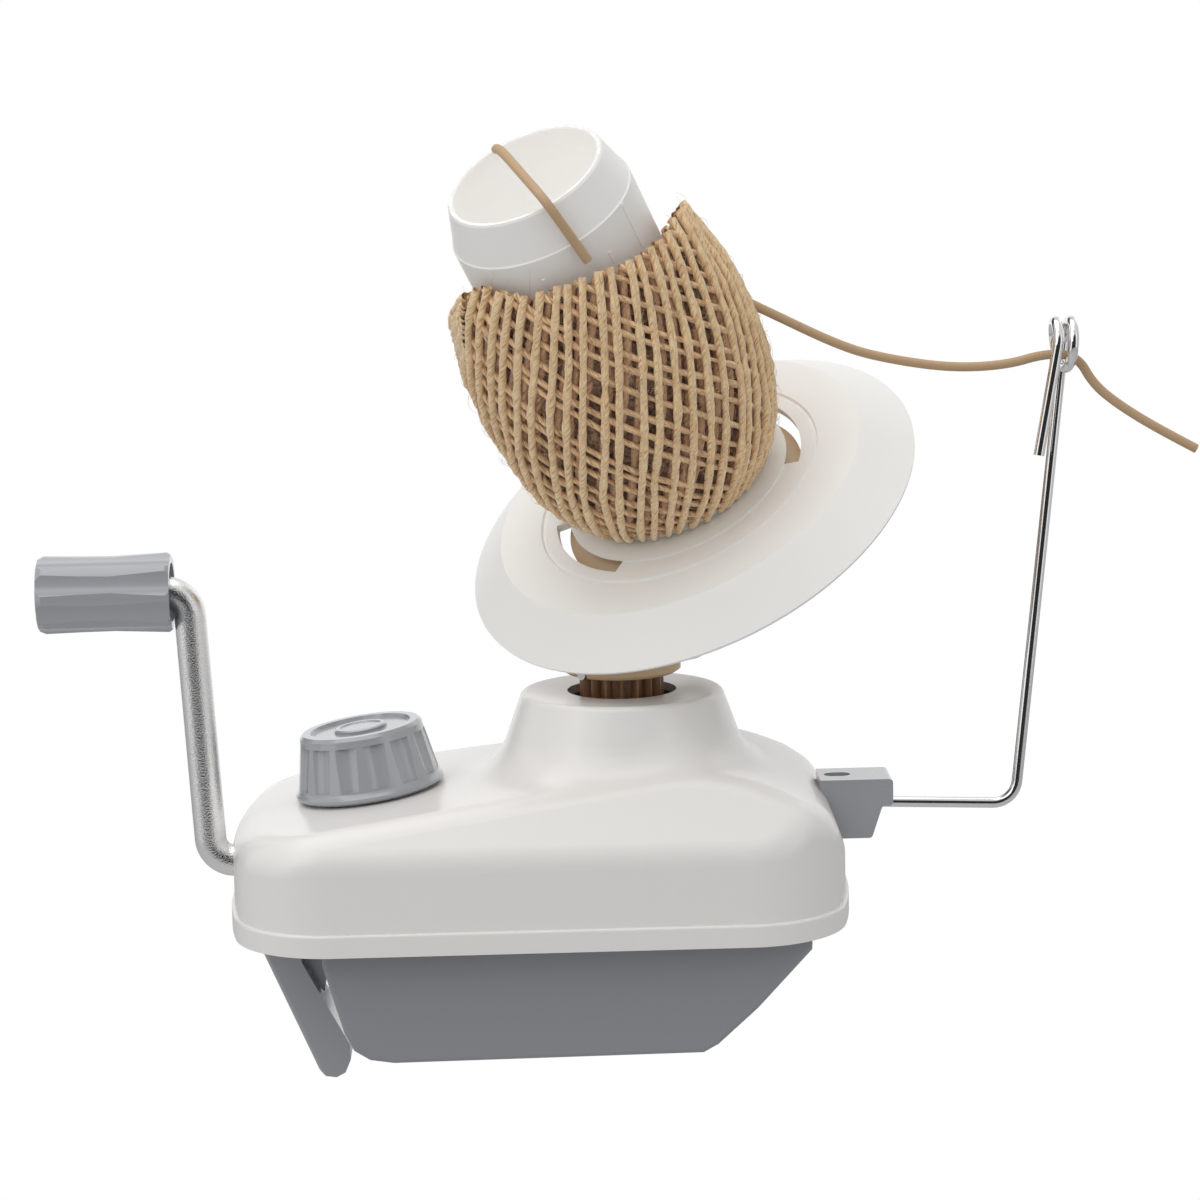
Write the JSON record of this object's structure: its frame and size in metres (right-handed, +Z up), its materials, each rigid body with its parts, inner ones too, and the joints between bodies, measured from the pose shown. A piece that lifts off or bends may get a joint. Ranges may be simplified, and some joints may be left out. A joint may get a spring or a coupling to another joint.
{
  "type": "yarn cone winder",
  "caption": "Hand-cranked yarn cone winder: tilted disc and spool with a wound ball, side crank, wire yarn guide and a table clamp with its knob.",
  "frame": {"origin": "vertical winding axis, at the housing's underside, which sits on the table", "axes": "+Z up along the winding axis, +X towards the yarn guide, -Y towards the user's front"},
  "size_m": [0.2861, 0.1239, 0.2361],
  "materials": {
    "housing_white": "glossy moulded ABS",
    "disc_white": "semi-gloss moulded ABS",
    "grey_plastic": "satin moulded ABS",
    "jaw_grey": "satin moulded ABS",
    "tan_plastic": "satin acetal",
    "chrome_rod": "bright plated",
    "chrome_wire": "bright plated",
    "zinc_steel": "zinc plated",
    "jute_twine": "rough twisted jute",
    "strand_yarn": "smooth waxed cord",
    "pad_rubber": "matt"
  },
  "bodies": {
    "housing": {"top_housing": "housing_white", "base_plate": "grey_plastic", "housing_screws": "zinc_steel", "centre_post": "zinc_steel", "post_screw": "zinc_steel", "sun_gear": "tan_plastic", "transfer_pin": "zinc_steel", "transfer_clip": "zinc_steel", "crank_bushes": "tan_plastic", "guide_holder": "grey_plastic", "yarn_guide_wire": "chrome_wire", "yarn_strand": "strand_yarn", "knob_washer": "zinc_steel"},
    "carrier": {"drive_pinion": "tan_plastic", "spindle_arm": "zinc_steel", "arm_pin": "zinc_steel", "spool_retainer": "zinc_steel"},
    "cone": {"disc": "disc_white", "ring_gear": "tan_plastic", "spool": "disc_white", "yarn_ball": "jute_twine", "yarn_tail": "strand_yarn", "yarn_lead": "strand_yarn"},
    "transfer": {"transfer_gear": "tan_plastic"},
    "crank": {"crank_rod": "chrome_rod", "crank_gear": "tan_plastic", "gear_pin": "zinc_steel", "crank_clip": "zinc_steel", "grip_clip": "zinc_steel"},
    "grip": {"crank_grip": "grey_plastic", "grip_cap": "grey_plastic"},
    "knob": {"clamp_knob": "grey_plastic", "knob_cap": "grey_plastic", "clamp_screw": "zinc_steel"},
    "jaw": {"clamp_jaw": "jaw_grey", "clamp_nut": "zinc_steel", "nut_plate": "zinc_steel", "jaw_pad": "pad_rubber"}
  },
  "joints": [
    {"name": "carrier_turn", "type": "hinge", "parent": "housing", "child": "carrier", "pos_m": [0, 0, 0.06], "axis": [0, 0, 1], "continuous": true, "deforming": ["yarn_strand"]},
    {"name": "cone_spin", "type": "hinge", "parent": "carrier", "child": "cone", "pos_m": [0, 0, 0.1375], "axis": [-0.38, -0.422, 0.8231], "continuous": true},
    {"name": "transfer_turn", "type": "hinge", "parent": "housing", "child": "transfer", "pos_m": [-0.03126, -0.012, 0.004], "axis": [0, 0, 1], "continuous": true},
    {"name": "crank_turn", "type": "hinge", "parent": "housing", "child": "crank", "pos_m": [-0.09, -0.012, 0.0162], "axis": [1, 0, 0], "continuous": true},
    {"name": "grip_spin", "type": "hinge", "parent": "crank", "child": "grip", "pos_m": [-0.125, -0.012, 0.0837], "axis": [1, 0, 0], "continuous": true},
    {"name": "knob_turn", "type": "hinge", "parent": "housing", "child": "knob", "pos_m": [-0.0633, 0, 0.0303], "axis": [-0.1305, 0, 0.9914], "range_deg": [0, 4032]},
    {"name": "jaw_slide", "type": "slide", "parent": "housing", "child": "jaw", "axis": [0.1305, 0, -0.9914], "range_m": [0, 0.028]}
  ],
  "couplings": [
    {"joint": "cone_spin", "follows": "carrier_turn", "ratio": 0.325},
    {"joint": "transfer_turn", "follows": "carrier_turn", "ratio": -0.39024},
    {"joint": "crank_turn", "follows": "carrier_turn", "ratio": 0.50732},
    {"joint": "knob_turn", "follows": "jaw_slide", "rad_per_m": 2513.3}
  ]
}
